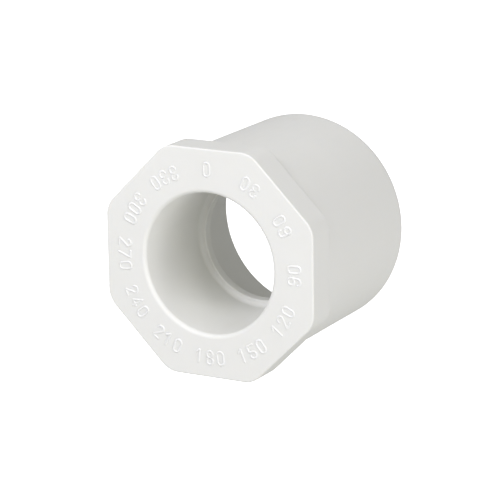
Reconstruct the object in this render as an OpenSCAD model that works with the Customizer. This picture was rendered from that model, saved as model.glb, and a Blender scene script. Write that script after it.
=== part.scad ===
// Reducing bushing, spigot by socket, in white rigid PVC.
// Axis along Y. The shoulder is y = 0, the head's face looks to -Y, the spigot leaves to +Y, +Z is up.
// All sizes are in millimetres.

/* [Head] */
// Step from the spigot out to each of the head's eight flats
shoulder_step = 0.82; // [0.5:0.02:4]
// Thickness of the head along the axis
head_thick = 6.6; // [4:0.1:12]
// Rounding of the head's eight upright corners
corner_r = 4.9; // [2:0.1:8]

/* [Spigot] */
// Outside diameter of the spigot
spigot_d = 42.16; // [35:0.02:60]
// Length of the spigot past the head
spigot_len = 33.4; // [24:0.1:60]
// Depth of the lead-in on the spigot's end, measured inwards
lead_in_step = 0.7; // [0.2:0.1:1.2]
// Length of that lead-in along the axis
lead_in_len = 1.6; // [0.5:0.1:4]
// Wall of the spigot at its open end
spigot_wall = 2.6; // [2:0.1:4]

/* [Socket] */
// Inside diameter of the socket, for a pipe of 26.67
socket_d = 26.72; // [18:0.02:32]
// Depth of the socket from the face to the stop ring
socket_depth = 20; // [12:0.1:26]
// Rounding of the socket's lip
lip_r = 0.8; // [0.2:0.1:1.5]

/* [Stop ring] */
// Height of the stop ring above the socket's wall
stop_height = 1.36; // [0.5:0.02:3]
// Thickness of the stop ring along the axis
stop_thick = 2.1; // [1:0.1:4]

/* [Spigot cavity] */
// Length of the cone that opens out behind the stop ring
cone_len = 3; // [1:0.1:6]
// Draft of the cavity's wall, from the cone to the open end
cavity_draft = 1.2; // [0.2:0.1:1.6]
// Chamfer inside the open end
rim_chamfer = 0.3; // [0.1:0.1:0.8]

/* [Raised numerals] */
// Height of a numeral
mark_h = 3; // [1.5:0.1:4]
// Width of a numeral's stroke
mark_stroke = 0.45; // [0.3:0.05:0.6]
// Relief of the numerals above the face
mark_relief = 0.25; // [0.1:0.05:0.8]
// Gap between two numerals of one number
mark_gap = 0.55; // [0.3:0.05:1]

/* [Hidden] */
$fn = 96;
over = 1;
sides = 8;
half_turn = 360 / sides / 2;
head_apothem = spigot_d / 2 + shoulder_step;
flat_half = (head_apothem - corner_r) * tan(half_turn);
corner_reach = (head_apothem - corner_r) / cos(half_turn);
total_len = head_thick + spigot_len;
stop_r = socket_d / 2 - stop_height;
stop_back = socket_depth + stop_thick;
cavity_end_r = spigot_d / 2 - spigot_wall;
cavity_start_r = cavity_end_r - cavity_draft;
lip_outer_r = socket_d / 2 + lip_r;
mark_ring_r = (lip_outer_r + head_apothem) / 2;
mark_w = (mark_h + mark_stroke) / 2;
lobe_y = (mark_h - mark_w) / 2;
mark_top = (mark_h - mark_stroke) / 2;
mark_side = (mark_w - mark_stroke) / 2;
mark_step = 30;
mark_pitch = (mark_w + mark_gap) / mark_ring_r * 180 / PI;

// Turns a shape drawn along Z from the face so that it runs along +Y, with the shoulder at y = 0.
module along_axis() {
    rotate([-90, 0, 0]) translate([0, 0, -head_thick]) children();
}

// Rounded octagon with a flat at the bottom.
module head_outline() {
    polygon([
        for (k = [0 : sides - 1], s = [-1, 1])
            [
                head_apothem * cos(45 * k) - s * flat_half * sin(45 * k),
                head_apothem * sin(45 * k) + s * flat_half * cos(45 * k)
            ]
    ]);
    for (k = [0 : sides - 1])
        rotate(45 * k + half_turn)
            translate([corner_reach, 0])
                circle(r = corner_r);
}

// Spigot, run into the head so that the two are one moulding.
module spigot() {
    translate([0, 0, head_thick - over])
        cylinder(d = spigot_d, h = spigot_len - lead_in_len + over);
    translate([0, 0, total_len - lead_in_len])
        cylinder(d1 = spigot_d, d2 = spigot_d - 2 * lead_in_step, h = lead_in_len);
}

// Rounded lip of the socket, as the ring to cut away.
module lip_cut() {
    rotate_extrude()
        difference() {
            translate([0, -over]) square([lip_outer_r, lip_r + over]);
            translate([lip_outer_r, lip_r]) circle(r = lip_r);
        }
}

// Hollow behind the stop ring: a cone, a drafted wall and the open end's chamfer.
module cavity_cut() {
    rotate_extrude()
        polygon([
            [0, stop_back],
            [stop_r, stop_back],
            [cavity_start_r, stop_back + cone_len],
            [cavity_end_r, total_len - rim_chamfer],
            [cavity_end_r + rim_chamfer, total_len],
            [cavity_end_r + rim_chamfer, total_len + over],
            [0, total_len + over]
        ]);
}

module bushing_body() {
    color([0.93, 0.93, 0.91])
        along_axis()
            difference() {
                union() {
                    linear_extrude(head_thick) head_outline();
                    spigot();
                }
                translate([0, 0, -over]) cylinder(d = socket_d, h = socket_depth + over);
                translate([0, 0, -over]) cylinder(r = stop_r, h = stop_back + 2 * over);
                lip_cut();
                cavity_cut();
            }
}

// Straight stroke with round ends between two points.
module stroke(p, q) {
    d = q - p;
    translate(p)
        rotate(atan2(d[1], d[0]))
            translate([0, -mark_stroke / 2])
                square([norm(d), mark_stroke]);
    translate(p) circle(d = mark_stroke);
    translate(q) circle(d = mark_stroke);
}

// One round lobe; side 1 is the upper lobe and -1 the lower.
module lobe(side) {
    translate([0, side * lobe_y])
        difference() {
            circle(d = mark_w);
            circle(d = mark_w - 2 * mark_stroke);
        }
}

module digit_0() {
    difference() {
        union() {
            translate([0, lobe_y]) circle(d = mark_w);
            translate([0, -lobe_y]) circle(d = mark_w);
            square([mark_w, 2 * lobe_y], center = true);
        }
        translate([0, lobe_y]) circle(d = mark_w - 2 * mark_stroke);
        translate([0, -lobe_y]) circle(d = mark_w - 2 * mark_stroke);
        square([mark_w - 2 * mark_stroke, 2 * lobe_y], center = true);
    }
}

module digit_1() {
    stroke([0, -mark_top], [0, mark_top]);
    stroke([0, mark_top], [-mark_side, mark_top - mark_side]);
}

module digit_2() {
    difference() {
        lobe(1);
        translate([-mark_w, lobe_y - mark_w]) square([2 * mark_w, mark_w]);
    }
    stroke([mark_side, lobe_y], [-mark_side, -mark_top]);
    stroke([-mark_side, -mark_top], [mark_side, -mark_top]);
}

module digit_3() {
    difference() {
        union() {
            lobe(1);
            lobe(-1);
        }
        translate([-mark_w, -lobe_y]) square([mark_w, 2 * lobe_y]);
    }
}

module digit_4() {
    stroke([mark_side / 2, -mark_top], [mark_side / 2, mark_top]);
    stroke([mark_side / 2, mark_top], [-mark_side, -lobe_y]);
    stroke([-mark_side, -lobe_y], [mark_side, -lobe_y]);
}

module digit_5() {
    difference() {
        lobe(-1);
        translate([-mark_w, -lobe_y]) square([mark_w, mark_w]);
    }
    stroke([-mark_side, mark_top], [mark_side, mark_top]);
    stroke([-mark_side, mark_top], [-mark_side, 0]);
    stroke([-mark_side, 0], [0, 0]);
}

module digit_6() {
    lobe(-1);
    stroke([-mark_side, -lobe_y], [-mark_side, lobe_y]);
    difference() {
        lobe(1);
        translate([-mark_w, lobe_y - mark_w]) square([2 * mark_w, mark_w]);
    }
}

module digit_7() {
    stroke([-mark_side, mark_top], [mark_side, mark_top]);
    stroke([mark_side, mark_top], [-mark_side / 2, -mark_top]);
}

module digit_8() {
    lobe(1);
    lobe(-1);
}

module digit(n) {
    if (n == 0) digit_0();
    if (n == 1) digit_1();
    if (n == 2) digit_2();
    if (n == 3) digit_3();
    if (n == 4) digit_4();
    if (n == 5) digit_5();
    if (n == 6) digit_6();
    if (n == 7) digit_7();
    if (n == 8) digit_8();
    if (n == 9) rotate(180) digit_6();
}

// One number of the dial, with its feet outwards.
module number(value) {
    count = value < 10 ? 1 : value < 100 ? 2 : 3;
    for (i = [0 : count - 1])
        rotate(180 - value + (i - (count - 1) / 2) * mark_pitch)
            translate([0, -mark_ring_r])
                linear_extrude(mark_relief)
                    digit(floor(value / pow(10, count - 1 - i)) % 10);
}

// Plain dial numerals, 0 to 330 clockwise, standing on the head's face.
module raised_numerals() {
    color([0.92, 0.92, 0.9])
        rotate([90, 0, 0])
            translate([0, 0, head_thick])
                for (value = [0 : mark_step : 359])
                    number(value);
}

bushing_body();
raised_numerals();
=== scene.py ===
"""White PVC reducing bushing: an octagonal head with a socket, a stop ring and a plain spigot.

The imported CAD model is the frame. Each visible surface is worked out with numpy and stands for its
CAD node. Lengths are in metres unless a name ends in _mm.
"""

from __future__ import annotations

import logging
from dataclasses import dataclass, field
from enum import Enum
import bpy
import numpy as np
from mathutils import Matrix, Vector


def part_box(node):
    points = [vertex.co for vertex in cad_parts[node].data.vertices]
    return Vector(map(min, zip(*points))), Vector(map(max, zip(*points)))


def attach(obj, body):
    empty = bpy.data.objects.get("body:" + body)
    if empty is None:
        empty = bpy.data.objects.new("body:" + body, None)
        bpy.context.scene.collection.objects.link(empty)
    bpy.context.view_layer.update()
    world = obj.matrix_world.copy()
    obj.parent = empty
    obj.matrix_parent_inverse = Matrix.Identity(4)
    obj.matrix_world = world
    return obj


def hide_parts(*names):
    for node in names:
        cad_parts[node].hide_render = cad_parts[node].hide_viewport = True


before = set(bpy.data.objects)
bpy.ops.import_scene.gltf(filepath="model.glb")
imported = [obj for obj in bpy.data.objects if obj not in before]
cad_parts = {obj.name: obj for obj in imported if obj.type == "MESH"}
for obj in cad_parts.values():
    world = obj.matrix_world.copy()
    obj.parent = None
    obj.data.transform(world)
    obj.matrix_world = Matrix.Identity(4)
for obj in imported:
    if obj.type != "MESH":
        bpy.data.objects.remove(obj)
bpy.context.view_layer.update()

LOG = logging.getLogger("reducing_bushing")
MM = 0.001
SIDES = 8
HALF_TURN = np.pi / SIDES
SECTION = 12


class Node(Enum):
    """CAD nodes that the visual pieces stand for."""

    BODY = "bushing_body"
    NUMERALS = "raised_numerals"


class Region(Enum):
    """Kinds of surface, by how much painted highlight (a paler colour) and added roughness they get.
    """

    PLAIN = 0.0
    SOFT = 0.1
    EDGE = 0.2
    RAISED = 1.0


@dataclass(frozen=True)
class Octagon:
    """Outline of the head: a regular octagon with rounded corners and a flat at the bottom.

    Args:
        apothem: distance from the axis to a flat, in mm.
        corner: radius of the corners, in mm.
    """

    apothem: float
    corner: float

    def radius(self, theta: np.ndarray, inset: np.ndarray) -> np.ndarray:
        """Distance from the axis to the outline, moved inwards by an inset.

        On a flat it is apothem / cos(a), with a the angle from the flat's middle. On a corner it is
        the far crossing of the ray with the corner's circle.

        Args:
            theta: angles round the axis, as a row.
            inset: inward offsets in mm, as a column.

        Returns:
            One radius in mm for each inset and angle.
        """
        apothem = self.apothem - inset
        corner = self.corner - inset
        off_flat = np.abs((theta + HALF_TURN) % (2 * HALF_TURN) - HALF_TURN)
        flat = apothem / np.cos(off_flat)
        reach = (apothem - corner) / np.cos(HALF_TURN)
        off_corner = HALF_TURN - off_flat
        inside = np.maximum(corner**2 - (reach * np.sin(off_corner)) ** 2, 0.0)
        rounded = reach * np.cos(off_corner) + np.sqrt(inside)
        on_flat = apothem * np.tan(off_flat) <= (apothem - corner) * np.tan(HALF_TURN)
        return np.where(on_flat, flat, rounded)


@dataclass
class Profile:
    """Closed half-section of the body, kept as rows of stations.

    Each station is (radius, y, octagon share, octagon inset, share of painted highlight and added
    roughness), lengths in mm.
    With an octagon share of 0 the ring is a circle of that radius, and with 1 it is the octagon at
    that inset.
    """

    rows: list[np.ndarray] = field(default_factory=list)

    def line(
        self,
        start: tuple[float, float],
        end: tuple[float, float],
        count: int,
        region: Region = Region.PLAIN,
        share: tuple[float, float] = (0.0, 0.0),
        inset: tuple[float, float] = (0.0, 0.0),
    ) -> None:
        """Adds a straight run with a narrow first and last step, so that shading turns only at bends.

        Stations are start + t (end - start), with t bunched towards both ends.

        Args:
            start: radius and y of the first station.
            end: radius and y of the last station.
            count: number of stations.
            region: how much painted highlight (paler colour) and added roughness the run gets.
            share: octagon share at the start and the end.
            inset: octagon inset at the start and the end.
        """
        inner = np.linspace(0.0, 1.0, max(count - 2, 2))
        t = np.unique(np.concatenate([inner, [0.015, 0.985]]))[:, None]
        first = np.array([[*start, share[0], inset[0], region.value]])
        last = np.array([[*end, share[1], inset[1], region.value]])
        self.rows.append(first + t * (last - first))

    def arc(
        self,
        centre: tuple[float, float],
        size: tuple[float, float],
        turn: tuple[float, float],
        count: int,
        region: Region = Region.EDGE,
    ) -> None:
        """Adds a quarter of an ellipse: radius = centre + a cos(t) and y = centre + b sin(t).

        Args:
            centre: radius and y of the ellipse's centre.
            size: its half axes along the radius and along y.
            turn: first and last t, in degrees.
            count: number of stations.
            region: how much painted highlight (paler colour) and added roughness the bend gets.
        """
        t = np.radians(np.linspace(*turn, count + 2)[1:-1])
        radius = centre[0] + size[0] * np.cos(t)
        y = centre[1] + size[1] * np.sin(t)
        # Each bend gets its region's share of painted highlight (paler colour) and added roughness.
        highlight_and_wear = np.full_like(t, region.value)
        self.rows.append(np.stack([radius, y, 0 * t, 0 * t, highlight_and_wear], axis=1))

    def rim(self, y: float, size: float, turn: tuple[float, float], count: int) -> None:
        """Adds a rounded edge of the octagon: inset = r (1 - cos t), y = centre + r sin t.

        Args:
            y: y of the rounding's centre.
            size: radius of the rounding.
            turn: first and last t, in degrees.
            count: number of stations.
        """
        t = np.radians(np.linspace(*turn, count + 2)[1:-1])
        inset = size * (1 - np.cos(t))
        ones = np.ones_like(t)
        # The rounded edge gets the EDGE share of painted highlight (paler colour) and added
        # roughness.
        rows = [0 * t, y + size * np.sin(t), ones, inset, ones * Region.EDGE.value]
        self.rows.append(np.stack(rows, axis=1))

    def stations(self) -> np.ndarray:
        """All stations in order, as one array of five columns, without places said twice."""
        rows = np.concatenate(self.rows)
        places = rows[:, :4]
        moved = np.abs(places - np.roll(places, 1, axis=0)).max(axis=1) > 0
        return rows[moved]


def make_mesh(
    name: str, points_mm: np.ndarray, quads: np.ndarray, highlight_and_wear: np.ndarray
) -> bpy.types.Object:
    """Makes a smooth-shaded object from points and quads, with a per-vertex attribute for painted
    highlight and added roughness.

    Args:
        name: name of the piece.
        points_mm: vertices in mm, one per row.
        quads: four vertex numbers per row.
        highlight_and_wear: per vertex, how much painted highlight (paler colour) and added roughness
            it gets.

    Returns:
        The new object, linked to the scene, at the origin.
    """
    mesh = bpy.data.meshes.new(name)
    mesh.vertices.add(len(points_mm))
    mesh.vertices.foreach_set("co", (points_mm * MM).astype(np.float32).ravel())
    mesh.loops.add(quads.size)
    mesh.loops.foreach_set("vertex_index", quads.astype(np.int32).ravel())
    mesh.polygons.add(len(quads))
    mesh.polygons.foreach_set("loop_start", np.arange(0, quads.size, 4, dtype=np.int32))
    mesh.polygons.foreach_set("use_smooth", np.ones(len(quads), dtype=bool))
    # Per-vertex share of painted highlight (paler colour) and added roughness.
    layer = mesh.attributes.new("highlight_and_wear", "FLOAT", "POINT")
    layer.data.foreach_set("value", highlight_and_wear.astype(np.float32))
    mesh.update(calc_edges=True)
    mesh.validate()
    piece = bpy.data.objects.new(name, mesh)
    bpy.context.scene.collection.objects.link(piece)
    return piece


def ring_quads(rings: int, steps: int, closed_rings: bool) -> np.ndarray:
    """Quads of a grid of rings, each ring closed on itself.

    Args:
        rings: number of rings.
        steps: vertices in each ring.
        closed_rings: whether the last ring joins the first.

    Returns:
        Four vertex numbers per row.
    """
    i = np.arange(rings if closed_rings else rings - 1)[:, None]
    j = np.arange(steps)[None, :]
    a = i * steps + j
    b = i * steps + (j + 1) % steps
    c = (i + 1) % rings * steps + (j + 1) % steps
    d = (i + 1) % rings * steps + j
    return np.stack([a, b, c, d], axis=-1).reshape(-1, 4)


def facing_out(points: np.ndarray, quads: np.ndarray) -> np.ndarray:
    """Turns the quads so that the closed surface encloses a positive volume.

    The volume is the sum over quads of the box product of three corners, over both triangles.

    Args:
        points: vertices, one per row.
        quads: four vertex numbers per row.

    Returns:
        The same quads, turned round if they faced inwards.
    """
    p = points[quads]
    first = np.einsum("ij,ij->i", p[:, 0], np.cross(p[:, 1], p[:, 2]))
    second = np.einsum("ij,ij->i", p[:, 0], np.cross(p[:, 2], p[:, 3]))
    return quads if (first + second).sum() > 0 else quads[:, ::-1]


@dataclass(frozen=True)
class MouldedPvc:
    """Rigid white PVC as it leaves the mould: a soft sheen, faint draw marks, and a painted highlight
    that makes rounded edges and raised numerals paler.
    """

    name: str = "moulded_white_pvc"
    tint: tuple[float, float, float] = (0.76, 0.76, 0.73)
    tint_deep: tuple[float, float, float] = (0.735, 0.735, 0.70)
    # Paler colour of the painted highlight on rounded edges and raised numerals.
    edge_tint: tuple[float, float, float] = (0.83, 0.83, 0.805)
    roughness: float = 0.52
    cloud_scale: float = 70.0
    grain_scale: float = 2600.0
    drawn_scale: float = 1500.0
    drawn_stretch: tuple[float, float, float] = (1.0, 0.035, 1.0)
    grain_mm: float = 0.007
    drawn_mm: float = 0.01
    swell_mm: float = 0.06

    def material(self) -> bpy.types.Material:
        """Builds the node material from noise on Object coordinates and the per-vertex attribute that
        paints the highlight and adds roughness.
        """
        made = bpy.data.materials.new(self.name)
        made.use_nodes = True
        tree = made.node_tree
        shader = tree.nodes["Principled BSDF"]
        shader.inputs["IOR"].default_value = 1.53
        shader.inputs["Subsurface Weight"].default_value = 0.12
        shader.inputs["Subsurface Radius"].default_value = (1.0, 0.9, 0.7)
        shader.inputs["Subsurface Scale"].default_value = 0.0008
        where = tree.nodes.new("ShaderNodeTexCoord").outputs["Object"]
        cloud = self._noise(tree, where, (1.0, 1.0, 1.0), self.cloud_scale, 3.0)
        grain = self._noise(tree, where, (1.0, 1.0, 1.0), self.grain_scale, 4.0)
        drawn = self._noise(tree, where, self.drawn_stretch, self.drawn_scale, 3.0)
        # Painted highlight: the per-vertex attribute times cloud noise mixes rounded edges and
        # numerals towards the paler tint; the same mask adds a little roughness.
        highlight_and_wear = tree.nodes.new("ShaderNodeAttribute")
        highlight_and_wear.attribute_name = "highlight_and_wear"
        base = self._mix(tree, cloud, self.tint_deep, self.tint)
        highlight_wear_mask = self._math(tree, "MULTIPLY", highlight_and_wear.outputs["Fac"], cloud)
        painted_highlight_colour = self._mix(tree, highlight_wear_mask, base, self.edge_tint)
        tree.links.new(painted_highlight_colour, shader.inputs["Base Color"])
        sheen = self._range(tree, drawn, self.roughness - 0.05, self.roughness + 0.07)
        rough = self._math(tree, "ADD", sheen, self._range(tree, highlight_wear_mask, 0.0, 0.08))
        tree.links.new(rough, shader.inputs["Roughness"])
        fine = self._bump(tree, grain, self.grain_mm, None)
        lines = self._bump(tree, drawn, self.drawn_mm, fine)
        swell = self._bump(tree, cloud, self.swell_mm, lines)
        tree.links.new(swell, shader.inputs["Normal"])
        return made

    @staticmethod
    def _noise(
        tree: bpy.types.NodeTree,
        where: bpy.types.NodeSocket,
        stretch: tuple[float, float, float],
        scale: float,
        detail: float,
    ) -> bpy.types.NodeSocket:
        """Noise on stretched Object coordinates.

        Args:
            tree: node tree to add to.
            where: coordinate socket.
            stretch: factor on each axis.
            scale: noise scale, per metre.
            detail: octaves.

        Returns:
            The factor socket.
        """
        place = tree.nodes.new("ShaderNodeMapping")
        place.inputs["Scale"].default_value = stretch
        noise = tree.nodes.new("ShaderNodeTexNoise")
        noise.inputs["Scale"].default_value = scale
        noise.inputs["Detail"].default_value = detail
        tree.links.new(where, place.inputs["Vector"])
        tree.links.new(place.outputs["Vector"], noise.inputs["Vector"])
        return noise.outputs["Fac"]

    @staticmethod
    def _mix(
        tree: bpy.types.NodeTree,
        factor: bpy.types.NodeSocket,
        low: tuple[float, float, float] | bpy.types.NodeSocket,
        high: tuple[float, float, float] | bpy.types.NodeSocket,
    ) -> bpy.types.NodeSocket:
        """Colour between low and high by a factor; each end is a colour or a socket.

        Args:
            tree: node tree to add to.
            factor: factor socket.
            low: colour or socket at 0.
            high: colour or socket at 1.

        Returns:
            The colour socket.
        """
        mix = tree.nodes.new("ShaderNodeMix")
        mix.data_type = "RGBA"
        tree.links.new(factor, mix.inputs["Factor"])
        for key, end in ((6, low), (7, high)):
            if isinstance(end, tuple):
                mix.inputs[key].default_value = (*end, 1.0)
            else:
                tree.links.new(end, mix.inputs[key])
        return mix.outputs[2]

    @staticmethod
    def _math(
        tree: bpy.types.NodeTree,
        operation: str,
        first: bpy.types.NodeSocket,
        second: bpy.types.NodeSocket,
    ) -> bpy.types.NodeSocket:
        """One Math node on two sockets.

        Args:
            tree: node tree to add to.
            operation: name of the operation.
            first: first socket.
            second: second socket.

        Returns:
            The value socket.
        """
        node = tree.nodes.new("ShaderNodeMath")
        node.operation = operation
        tree.links.new(first, node.inputs[0])
        tree.links.new(second, node.inputs[1])
        return node.outputs["Value"]

    @staticmethod
    def _range(
        tree: bpy.types.NodeTree, value: bpy.types.NodeSocket, low: float, high: float
    ) -> bpy.types.NodeSocket:
        """Maps a noise socket's usual 0.3 to 0.7 on to low to high.

        Args:
            tree: node tree to add to.
            value: socket to map.
            low: result at 0.3.
            high: result at 0.7.

        Returns:
            The mapped socket.
        """
        node = tree.nodes.new("ShaderNodeMapRange")
        node.inputs["From Min"].default_value = 0.3
        node.inputs["From Max"].default_value = 0.7
        node.inputs["To Min"].default_value = low
        node.inputs["To Max"].default_value = high
        tree.links.new(value, node.inputs["Value"])
        return node.outputs["Result"]

    @staticmethod
    def _bump(
        tree: bpy.types.NodeTree,
        height: bpy.types.NodeSocket,
        depth_mm: float,
        under: bpy.types.NodeSocket | None,
    ) -> bpy.types.NodeSocket:
        """Bump of a real depth, laid over another bump if one is given.

        Args:
            tree: node tree to add to.
            height: height socket.
            depth_mm: height of the relief in mm.
            under: normal socket below it, or None.

        Returns:
            The normal socket.
        """
        bump = tree.nodes.new("ShaderNodeBump")
        bump.inputs["Strength"].default_value = 1.0
        bump.inputs["Distance"].default_value = depth_mm * MM
        tree.links.new(height, bump.inputs["Height"])
        if under is not None:
            tree.links.new(under, bump.inputs["Normal"])
        return bump.outputs["Normal"]


@dataclass
class BushingBody:
    """The moulding: head, spigot, socket, stop ring and the hollow behind it. Sizes in mm."""

    face_y: float
    end_y: float
    apothem: float
    corner: float = 4.9
    edge: float = 0.3
    back_edge: float = 0.2
    spigot_r: float = 21.06
    spigot_end_r: float = 20.95
    root: float = 0.15
    lead_in: tuple[float, float] = (0.7, 1.6)
    end_inner_r: float = 18.48
    rim: float = 0.35
    cavity_start_r: float = 17.28
    cone: float = 3.0
    stop_r: float = 12.0
    stop_front: float = 20.0
    stop_thick: float = 2.1
    stop_round: float = 0.25
    socket_bottom_r: float = 13.3
    socket_mouth_r: float = 13.52
    seat_fillet: float = 0.9
    lip: float = 0.82
    steps: int = 480
    unevenness: float = 0.012

    def profile(self) -> Profile:
        """The half-section, from the lip out over the face, along the outside and back inside."""
        p = Profile()
        face, end = self.face_y, self.end_y
        stop, back = face + self.stop_front, face + self.stop_front + self.stop_thick
        lip_r = self.socket_mouth_r + self.lip
        p.line((lip_r, face), (lip_r, face), 14, share=(0.0, 1.0), inset=(0.0, self.edge))
        p.rim(face + self.edge, self.edge, (-90.0, 0.0), 8)
        p.line((0.0, face + self.edge), (0.0, -self.back_edge), 9, share=(1.0, 1.0))
        p.rim(-self.back_edge, self.back_edge, (0.0, 90.0), 5)
        root_r = self.spigot_r + self.root
        p.line((root_r, 0.0), (root_r, 0.0), 6, share=(1.0, 0.0), inset=(self.back_edge, 0.0))
        p.arc((root_r, self.root), (self.root, self.root), (270.0, 180.0), 4, Region.PLAIN)
        step, run = self.lead_in
        p.line((self.spigot_r, self.root), (self.spigot_end_r, end - run), 22)
        centre_r = self.spigot_end_r - step
        p.arc((centre_r, end - run), (step, run), (0.0, 90.0), 14, Region.SOFT)
        p.line((centre_r, end), (self.end_inner_r + self.rim, end), 6)
        centre_r = self.end_inner_r + self.rim
        p.arc((centre_r, end - self.rim), (self.rim, self.rim), (90.0, 180.0), 6)
        cone_y = back + self.cone
        p.line((self.end_inner_r, end - self.rim), (self.cavity_start_r, cone_y), 18)
        p.line((self.cavity_start_r, cone_y), (self.stop_r + self.stop_round, back), 8)
        bead = self.stop_round
        p.arc((self.stop_r + bead, back - bead), (bead, bead), (90.0, 180.0), 4)
        p.line((self.stop_r, back - bead), (self.stop_r, stop + bead), 6)
        p.arc((self.stop_r + bead, stop + bead), (bead, bead), (180.0, 270.0), 5)
        seat = self.seat_fillet
        seat_r = self.socket_bottom_r - seat
        p.line((self.stop_r + bead, stop), (seat_r, stop), 4)
        p.arc((seat_r, stop - seat), (seat, seat), (90.0, 0.0), 9, Region.PLAIN)
        mouth = (self.socket_mouth_r, face + self.lip)
        p.line((self.socket_bottom_r, stop - seat), mouth, 20)
        p.arc((lip_r, face + self.lip), (self.lip, self.lip), (180.0, 270.0), 11)
        return p

    def points(self, stations: np.ndarray) -> np.ndarray:
        """Carries the profile round the axis.

        Each ring mixes a circle and the octagon by the station's share. A slow wave of a few
        hundredths, three and five times round, leaves the faces as uneven as a real moulding.

        Args:
            stations: the profile's five columns.

        Returns:
            Vertices in mm, ring after ring.
        """
        theta = np.linspace(0.0, 2 * np.pi, self.steps, endpoint=False)[None, :]
        circle, y, share, inset, _ = (column[:, None] for column in stations.T)
        octagon = Octagon(self.apothem, self.corner).radius(theta, inset)
        radius = circle * (1 - share) + octagon * share
        radius = radius - self.unevenness * (1.2 + np.sin(3 * theta + 0.21 * y))
        sink = self.unevenness * (1.0 + np.sin(5 * theta + 0.35 * radius))
        y = y + sink * np.clip(y / self.face_y, 0.0, 1.0)
        return np.stack(
            [radius * np.cos(theta), y + 0 * theta, radius * np.sin(theta)], axis=-1
        ).reshape(-1, 3)

    def build(self, finish: MouldedPvc) -> bpy.types.Object:
        """Builds and dresses the piece.

        Args:
            finish: the plastic.

        Returns:
            The body's object.
        """
        stations = self.profile().stations()
        points = self.points(stations)
        quads = facing_out(points, ring_quads(len(stations), self.steps, True))
        # The fifth column sets each vertex's share of painted highlight (paler colour) and added
        # roughness.
        piece = make_mesh("white_pvc_body", points, quads, np.repeat(stations[:, 4], self.steps))
        piece.data.materials.append(finish.material())
        return piece


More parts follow.
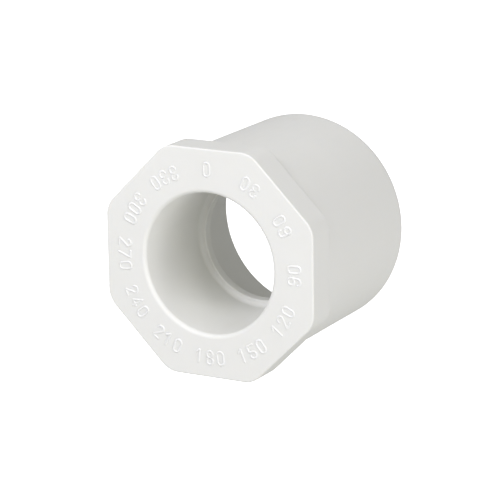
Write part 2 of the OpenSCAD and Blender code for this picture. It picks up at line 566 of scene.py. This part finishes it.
@dataclass
class RaisedNumerals:
    """Plain dial numerals on the head's face, each stroke a low rounded bead. Sizes in mm."""

    face_y: float
    ring_r: float
    height: float = 3.0
    stroke: float = 0.45
    relief: float = 0.14
    gap: float = 0.55
    foot: float = 0.14
    spacing: float = 0.07
    buried: float = 0.06
    every: int = 30

    @property
    def side(self) -> float:
        """Half the width of a numeral's centre line."""
        return (self.height - self.stroke) / 4

    @property
    def top(self) -> float:
        """Half the height of a numeral's centre line."""
        return (self.height - self.stroke) / 2

    def bend(self, centre_y: float, first: float, last: float) -> np.ndarray:
        """Arc of the numerals' one lobe radius: centre + side (cos t, sin t).

        Args:
            centre_y: height of the lobe's centre.
            first: first angle in degrees.
            last: last angle in degrees.

        Returns:
            Points, one per row.
        """
        t = np.radians(np.linspace(first, last, max(int(abs(last - first) / 12), 2) + 1))
        return np.stack([self.side * np.cos(t), centre_y + self.side * np.sin(t)], axis=1)

    def strokes(self, digit: int) -> list[np.ndarray]:
        """Centre lines of one numeral.

        Args:
            digit: 0 to 9.

        Returns:
            One array of points for each stroke.
        """
        s, t = self.side, self.top
        if digit == 0:
            return [np.concatenate([self.bend(s, 0, 180), self.bend(-s, 180, 360), [[s, s]]])]
        if digit == 1:
            return [np.array([[-s, t - s], [0, t], [0, -t]])]
        if digit == 2:
            return [np.concatenate([self.bend(s, 180, 0), [[-s, -t], [s, -t]]])]
        if digit == 3:
            return [self.bend(s, 180, -90), self.bend(-s, 90, -180)]
        if digit == 4:
            return [np.array([[s / 2, -t], [s / 2, t], [-s, -s], [s, -s]])]
        if digit == 5:
            bar = np.array([[s, t], [-s, t], [-s, 0], [-s / 2, 0]])
            return [np.concatenate([bar, self.bend(-s, 90, -180)])]
        if digit == 6:
            return [np.concatenate([self.bend(s, 0, 180), self.bend(-s, 180, 540)])]
        if digit == 7:
            return [np.array([[-s, t], [s, t], [-s / 2, -t]])]
        if digit == 8:
            return [self.bend(s, 0, 360), self.bend(-s, 0, 360)]
        return [-line for line in self.strokes(6)]

    def bead(self, line: np.ndarray) -> tuple[np.ndarray, np.ndarray]:
        """Carries the bead's section along one centre line, with both ends drawn in to a dome.

        The line is cut into even steps. Across it the section is a soft swell, its
        height following cos^2, and near an end width and height follow sqrt(1 - u^2).

        Args:
            line: points of the centre line.

        Returns:
            Vertices (across, up, out of the face) and quads.
        """
        run = np.concatenate([[0.0], np.cumsum(np.linalg.norm(np.diff(line, axis=0), axis=1))])
        half = self.stroke / 2
        cap = half * (1 - np.cos(np.linspace(0.12, np.pi / 2, 5)))
        middle = np.linspace(half, run[-1] - half, max(int(run[-1] / self.spacing), 3))
        spot = np.concatenate([cap[:-1], middle, (run[-1] - cap[:-1])[::-1]])
        reach = spot * (run[-1] + self.stroke) / run[-1] - half
        at = np.stack([np.interp(reach, run, line[:, k]) for k in (0, 1)], axis=1)
        beyond = np.maximum(-reach, 0)[:, None], np.maximum(reach - run[-1], 0)[:, None]
        first = (line[0] - line[1]) / np.linalg.norm(line[0] - line[1])
        last = (line[-1] - line[-2]) / np.linalg.norm(line[-1] - line[-2])
        at = at + beyond[0] * first + beyond[1] * last
        along = np.gradient(at, axis=0)
        along /= np.linalg.norm(along, axis=1, keepdims=True)
        across = np.stack([along[:, 1], -along[:, 0]], axis=1)
        to_end = np.minimum(np.minimum(reach + half, run[-1] + half - reach) / half, 1.0)
        dome = np.sqrt(np.clip(1 - (1 - to_end) ** 2, 0.0004, 1.0))[:, None]
        width = np.linspace(-1.0, 1.0, SECTION)
        rise = np.cos(width * np.pi / 2) ** 2
        wide = (half + self.foot) * width[None, :] * dome
        out = (self.relief + self.buried) * rise[None, :] * dome - self.buried
        flat = at[:, None, :] + wide[..., None] * across[:, None, :]
        points = np.concatenate([flat, out[..., None]], axis=2).reshape(-1, 3)
        quads = ring_quads(len(at), len(width), False)
        return points, np.concatenate([quads, self.caps(len(at), len(width))])

    @staticmethod
    def caps(rings: int, steps: int) -> np.ndarray:
        """Quads that close the first and the last ring by pairing points across it.

        Args:
            rings: number of rings.
            steps: vertices in each ring.

        Returns:
            Four vertex numbers per row.
        """
        k = np.arange(steps // 2 - 1)
        first = np.stack([k, steps - 1 - k, steps - 2 - k, k + 1], axis=1)
        last = (rings - 1) * steps + first[:, ::-1]
        return np.concatenate([first, last])

    def placed(self, points: np.ndarray, turn: float) -> np.ndarray:
        """Puts a numeral's points on the face, feet outwards.

        The numeral is moved down by the ring's radius and turned about the axis.

        Args:
            points: vertices (across, up, out of the face).
            turn: turn about the axis in radians.

        Returns:
            Vertices in the object's frame, in mm.
        """
        across, up = points[:, 0], points[:, 1] - self.ring_r
        x = across * np.cos(turn) - up * np.sin(turn)
        z = across * np.sin(turn) + up * np.cos(turn)
        return np.stack([x, self.face_y - points[:, 2], z], axis=1)

    def build(self, finish: bpy.types.Material) -> bpy.types.Object:
        """Builds and dresses all the numerals as one piece.

        Args:
            finish: the body's material.

        Returns:
            The numerals' object.
        """
        pitch = (2 * self.side + self.stroke + self.gap) / self.ring_r
        all_points: list[np.ndarray] = []
        all_quads: list[np.ndarray] = []
        count = 0
        for value in range(0, 360, self.every):
            text = str(value)
            for place, letter in enumerate(text):
                turn = np.pi - np.radians(value) + (place - (len(text) - 1) / 2) * pitch
                for line in self.strokes(int(letter)):
                    points, quads = self.bead(line)
                    points = self.placed(points, turn)
                    all_quads.append(facing_out(points - points.mean(axis=0), quads) + count)
                    all_points.append(points)
                    count += len(points)
        points = np.concatenate(all_points)
        quads = np.concatenate(all_quads)
        # The numerals get the full painted highlight (paler colour) and the most added roughness.
        highlight_and_wear = np.full(len(points), Region.RAISED.value)
        piece = make_mesh("moulded_numerals", points, quads, highlight_and_wear)
        piece.data.materials.append(finish)
        return piece


@dataclass(frozen=True)
class Softbox:
    """One large square light, aimed at the object's middle.

    Args:
        name: name of the light.
        azimuth: direction it comes from, 0 in front of the face and positive to +X, in degrees.
        elevation: height above the horizon, in degrees.
        watts: power.
        tint: colour of the light.
    """

    name: str
    azimuth: float
    elevation: float
    watts: float
    tint: tuple[float, float, float] = (1.0, 1.0, 1.0)
    distance: float = 0.6
    size: float = 0.3

    def build(self, target: np.ndarray) -> None:
        """Adds the light, looking at the target.

        Args:
            target: point in metres.
        """
        data = bpy.data.lights.new(self.name, "AREA")
        data.shape = "SQUARE"
        data.size = self.size
        data.energy = self.watts
        data.color = self.tint
        lamp = bpy.data.objects.new(self.name, data)
        lamp.matrix_world = looking_at(target, self.azimuth, self.elevation, self.distance)
        bpy.context.scene.collection.objects.link(lamp)


def looking_at(target: np.ndarray, azimuth: float, elevation: float, distance: float) -> Matrix:
    """Pose of a light or camera that looks at a point.

    Args:
        target: point to look at, in metres.
        azimuth: 0 in front of the face and positive to +X, in degrees.
        elevation: in degrees.
        distance: in metres.

    Returns:
        World matrix with -Z towards the target and +Y up.
    """
    a, e = np.radians(azimuth), np.radians(elevation)
    back = np.array([np.sin(a) * np.cos(e), -np.cos(a) * np.cos(e), np.sin(e)])
    right = np.cross(-back, [0.0, 0.0, 1.0])
    right /= np.linalg.norm(right)
    pose = np.eye(4)
    pose[:3, 0], pose[:3, 1], pose[:3, 2] = right, np.cross(back, right), back
    pose[:3, 3] = target + back * distance
    return Matrix(pose.tolist())


@dataclass(frozen=True)
class Studio:
    """Pale floor, soft room light, softboxes and the camera. Lengths in metres, angles in degrees."""

    floor_z: float
    floor_glow: float = 0.9
    floor_half: float = 1.2
    target: tuple[float, float, float] = (0.0, 0.01, 0.0)
    room: tuple[float, float, float] = (0.435, 0.435, 0.425)
    boxes: tuple[Softbox, ...] = (
        Softbox("above_front", -14.0, 46.0, 1.75, (0.98, 0.98, 1.0)),
        Softbox("front_left", -25.0, 25.0, 0.85, (0.84, 0.83, 1.0)),
        Softbox("front_right", 50.0, 15.0, 0.55, (1.0, 1.0, 0.88)),
        Softbox("right", 70.0, 25.0, 1.0, (0.9, 0.88, 1.0)),
        Softbox("below_right", 60.0, -45.0, 1.1),
    )
    azimuth: float = 29.02
    elevation: float = 15.03
    roll: float = -0.85
    distance: float = 0.47
    lens: float = 183.1
    aim: tuple[float, float] = (0.00775, 0.00271)

    def build(self, face_centre: np.ndarray) -> None:
        """Builds the whole set.

        Args:
            face_centre: middle of the head's face, in metres.
        """
        self._floor()
        self._room()
        for box in self.boxes:
            box.build(np.array(self.target))
        self._camera(face_centre)
        view = bpy.context.scene.view_settings
        view.view_transform = "Standard"
        view.look = "None"

    def _floor(self) -> None:
        """Lays the pale floor, which also glows a little so that it stays white."""
        half = self.floor_half
        mesh = bpy.data.meshes.new("floor")
        sheet = [(-half, -half), (half, -half), (half, half), (-half, half)]
        mesh.from_pydata([(x, y, self.floor_z) for x, y in sheet], [], [(0, 1, 2, 3)])
        floor = bpy.data.objects.new("floor", mesh)
        bpy.context.scene.collection.objects.link(floor)
        paper = bpy.data.materials.new("pale_floor")
        paper.use_nodes = True
        shader = paper.node_tree.nodes["Principled BSDF"]
        shader.inputs["Base Color"].default_value = (0.9, 0.9, 0.9, 1.0)
        shader.inputs["Roughness"].default_value = 0.9
        shader.inputs["Emission Color"].default_value = (1.0, 1.0, 1.0, 1.0)
        shader.inputs["Emission Strength"].default_value = self.floor_glow
        mesh.materials.append(paper)
        floor.visible_diffuse = False
        floor.visible_glossy = False
        floor.visible_shadow = False

    def _room(self) -> None:
        """Lights the room evenly and shows white behind the object."""
        world = bpy.data.worlds.new("room")
        world.use_nodes = True
        tree = world.node_tree
        light = tree.nodes["Background"]
        light.inputs["Color"].default_value = (*self.room, 1.0)
        white = tree.nodes.new("ShaderNodeBackground")
        white.inputs["Color"].default_value = (1.0, 1.0, 1.0, 1.0)
        path = tree.nodes.new("ShaderNodeLightPath")
        choose = tree.nodes.new("ShaderNodeMixShader")
        tree.links.new(path.outputs["Is Camera Ray"], choose.inputs["Fac"])
        tree.links.new(light.outputs["Background"], choose.inputs[1])
        tree.links.new(white.outputs["Background"], choose.inputs[2])
        tree.links.new(choose.outputs["Shader"], tree.nodes["World Output"].inputs["Surface"])
        bpy.context.scene.world = world

    def _camera(self, face_centre: np.ndarray) -> None:
        """Sets the camera: aimed beside the face's centre by the aim, then rolled.

        Args:
            face_centre: middle of the head's face, in metres.
        """
        data = bpy.data.cameras.new("camera")
        data.lens = self.lens
        data.sensor_width = 36.0
        data.clip_start = 0.01
        pose = looking_at(face_centre, self.azimuth, self.elevation, self.distance)
        pose = pose @ Matrix.Rotation(np.radians(self.roll), 4, "Z")
        pose = pose @ Matrix.Translation((*self.aim, 0.0))
        camera = bpy.data.objects.new("camera", data)
        camera.matrix_world = pose
        bpy.context.scene.collection.objects.link(camera)
        bpy.context.scene.camera = camera


def dress(piece: bpy.types.Object, node: Node) -> None:
    """Ties a finished piece to the frame.

    Args:
        piece: the piece.
        node: CAD node that it stands for.
    """
    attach(piece, "root")
    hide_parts(node.value)
    faces = len(piece.data.polygons)
    LOG.info("%s: %d vertices, %d faces", piece.name, len(piece.data.vertices), faces)


def main() -> None:
    """Builds the object and its set."""
    logging.basicConfig(level=logging.INFO, format="%(name)s %(message)s")
    low, high = (np.array(corner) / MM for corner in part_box(Node.BODY.value))
    body = BushingBody(face_y=low[1], end_y=high[1], apothem=high[0])
    body_piece = body.build(MouldedPvc())
    dress(body_piece, Node.BODY)
    top_of_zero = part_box(Node.NUMERALS.value)[1][2] / MM
    numerals = RaisedNumerals(face_y=low[1], ring_r=top_of_zero - RaisedNumerals.height / 2)
    dress(numerals.build(body_piece.data.materials[0]), Node.NUMERALS)
    Studio(floor_z=low[2] * MM).build(np.array([0.0, low[1] * MM, 0.0]))


if __name__ == "__main__":
    main()
